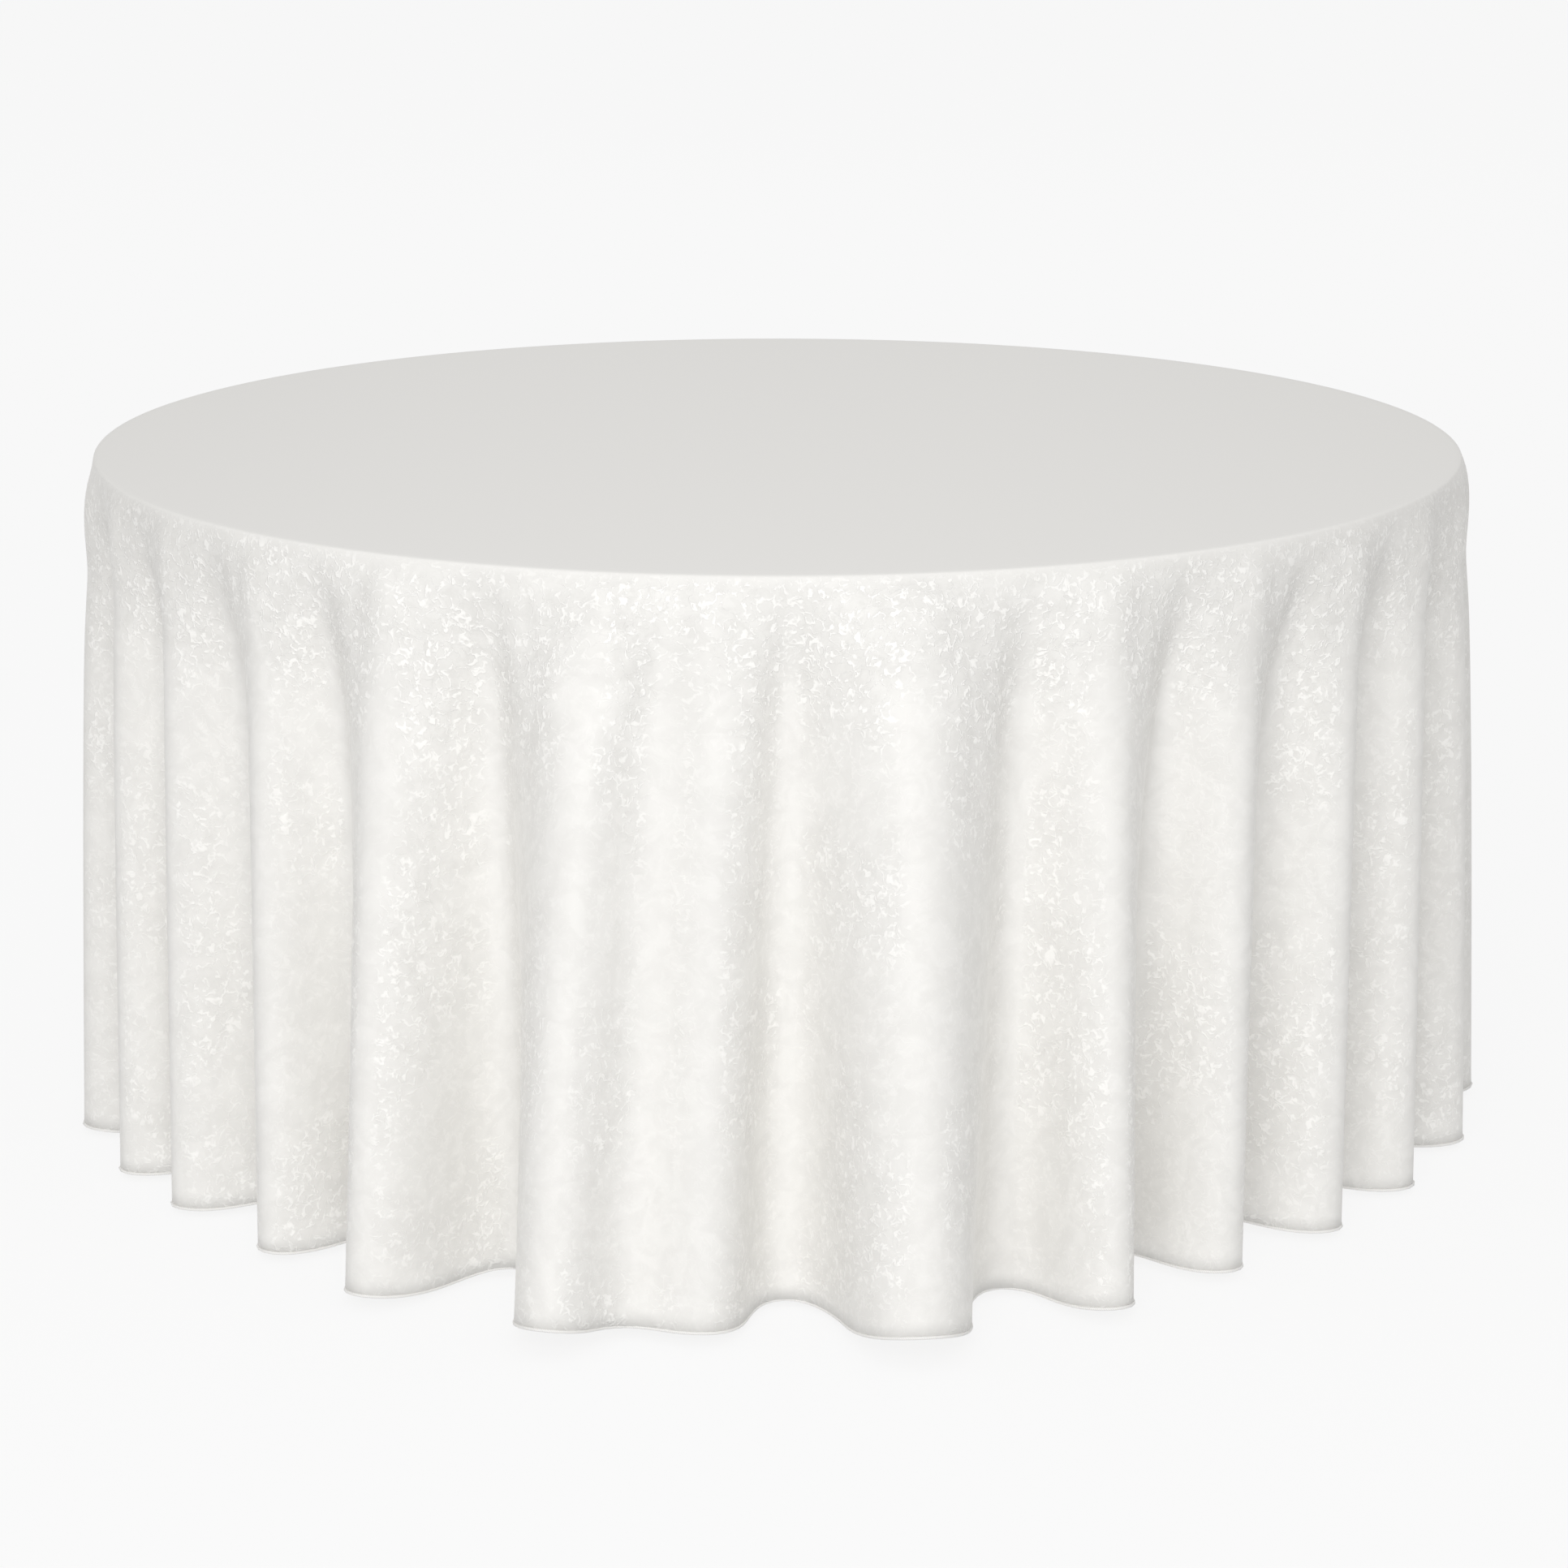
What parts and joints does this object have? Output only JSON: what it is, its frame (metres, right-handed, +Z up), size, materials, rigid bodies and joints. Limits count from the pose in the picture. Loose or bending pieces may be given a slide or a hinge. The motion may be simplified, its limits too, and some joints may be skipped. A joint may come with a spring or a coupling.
{
  "type": "round tablecloth on a folding table",
  "caption": "Round floor-length tablecloth hanging in deep folds over a round folding table, whose leg frames fold flat under the top on jointed braces.",
  "frame": {"origin": "on the floor, at the middle of the overall box, under the middle of the table", "axes": "+Z up, front is -Y, the leg sets hinge at +X and -X"},
  "size_m": [1.5909, 1.8379, 0.7637],
  "materials": {
    "cloth": "ivory white crushed velvet, soft sheen, irregular crinkle",
    "plywood": "sealed birch plywood",
    "edge_plastic": "dark brown edge moulding",
    "painted_steel": "grey powder coat",
    "zinc_steel": "zinc plated",
    "cap_plastic": "black non-marking plastic"
  },
  "bodies": {
    "table_top": {"brace_bracket_a": "zinc_steel", "brace_bracket_b": "zinc_steel", "bracket_pin_a": "zinc_steel", "bracket_pin_b": "zinc_steel", "bracket_screw_a_1": "zinc_steel", "bracket_screw_a_2": "zinc_steel", "bracket_screw_b_1": "zinc_steel", "bracket_screw_b_2": "zinc_steel", "edge_band": "edge_plastic", "pivot_strap_a_back": "zinc_steel", "pivot_strap_a_front": "zinc_steel", "pivot_strap_b_back": "zinc_steel", "pivot_strap_b_front": "zinc_steel", "rail_back": "plywood", "rail_front": "plywood", "spacer_block_b_back": "plywood", "spacer_block_b_front": "plywood", "strap_screw_a_back_1": "zinc_steel", "strap_screw_a_back_2": "zinc_steel", "strap_screw_a_front_1": "zinc_steel", "strap_screw_a_front_2": "zinc_steel", "strap_screw_b_back_1": "zinc_steel", "strap_screw_b_back_2": "zinc_steel", "strap_screw_b_front_1": "zinc_steel", "strap_screw_b_front_2": "zinc_steel", "top_panel": "plywood"},
    "leg_set_a": {"brace_lug_a": "painted_steel", "crossbar_a": "painted_steel", "leg_cap_a_back": "cap_plastic", "leg_cap_a_front": "cap_plastic", "leg_post_a_back": "painted_steel", "leg_post_a_front": "painted_steel", "lug_pin_a": "zinc_steel", "pivot_tube_a": "painted_steel"},
    "upper_link_a": {"knee_cap_a": "zinc_steel", "upper_link_a": "painted_steel"},
    "lower_link_a": {"knee_rivet_a": "zinc_steel", "lower_link_a": "painted_steel"},
    "leg_set_b": {"brace_lug_b": "painted_steel", "crossbar_b": "painted_steel", "leg_cap_b_back": "cap_plastic", "leg_cap_b_front": "cap_plastic", "leg_post_b_back": "painted_steel", "leg_post_b_front": "painted_steel", "lug_pin_b": "zinc_steel", "pivot_tube_b": "painted_steel"},
    "upper_link_b": {"knee_cap_b": "zinc_steel", "upper_link_b": "painted_steel"},
    "lower_link_b": {"knee_rivet_b": "zinc_steel", "lower_link_b": "painted_steel"},
    "tablecloth": {"tablecloth": "cloth"}
  },
  "joints": [
    {"name": "leg_fold_a", "type": "hinge", "parent": "table_top", "child": "leg_set_a", "pos_m": [0.43, 0, 0.709], "axis": [0, 1, 0], "range_deg": [0, 90]},
    {"name": "brace_swing_a", "type": "hinge", "parent": "table_top", "child": "upper_link_a", "pos_m": [0.1, 0.0065, 0.7309], "axis": [0, -1, 0], "range_deg": [0, 42.5]},
    {"name": "lug_swing_a", "type": "hinge", "parent": "leg_set_a", "child": "lower_link_a", "pos_m": [0.4081, -0.0065, 0.449], "axis": [0, 1, 0], "range_deg": [0, 47.6]},
    {"name": "leg_fold_b", "type": "hinge", "parent": "table_top", "child": "leg_set_b", "pos_m": [-0.43, 0, 0.669], "axis": [0, -1, 0], "range_deg": [0, 90]},
    {"name": "brace_swing_b", "type": "hinge", "parent": "table_top", "child": "upper_link_b", "pos_m": [-0.1, -0.0065, 0.6909], "axis": [0, 1, 0], "range_deg": [0, 42.5]},
    {"name": "lug_swing_b", "type": "hinge", "parent": "leg_set_b", "child": "lower_link_b", "pos_m": [-0.4081, 0.0065, 0.409], "axis": [0, -1, 0], "range_deg": [0, 47.6]},
    {"name": "cloth_lift", "type": "slide", "parent": "table_top", "child": "tablecloth", "axis": [0, 0, 1], "range_m": [0, 0.8]}
  ],
  "couplings": [
    {"joint": "brace_swing_a", "follows": "leg_fold_a", "ratio": 0.47175},
    {"joint": "lug_swing_a", "follows": "leg_fold_a", "ratio": 0.52825},
    {"joint": "brace_swing_b", "follows": "leg_fold_b", "ratio": 0.47175},
    {"joint": "lug_swing_b", "follows": "leg_fold_b", "ratio": 0.52825}
  ]
}
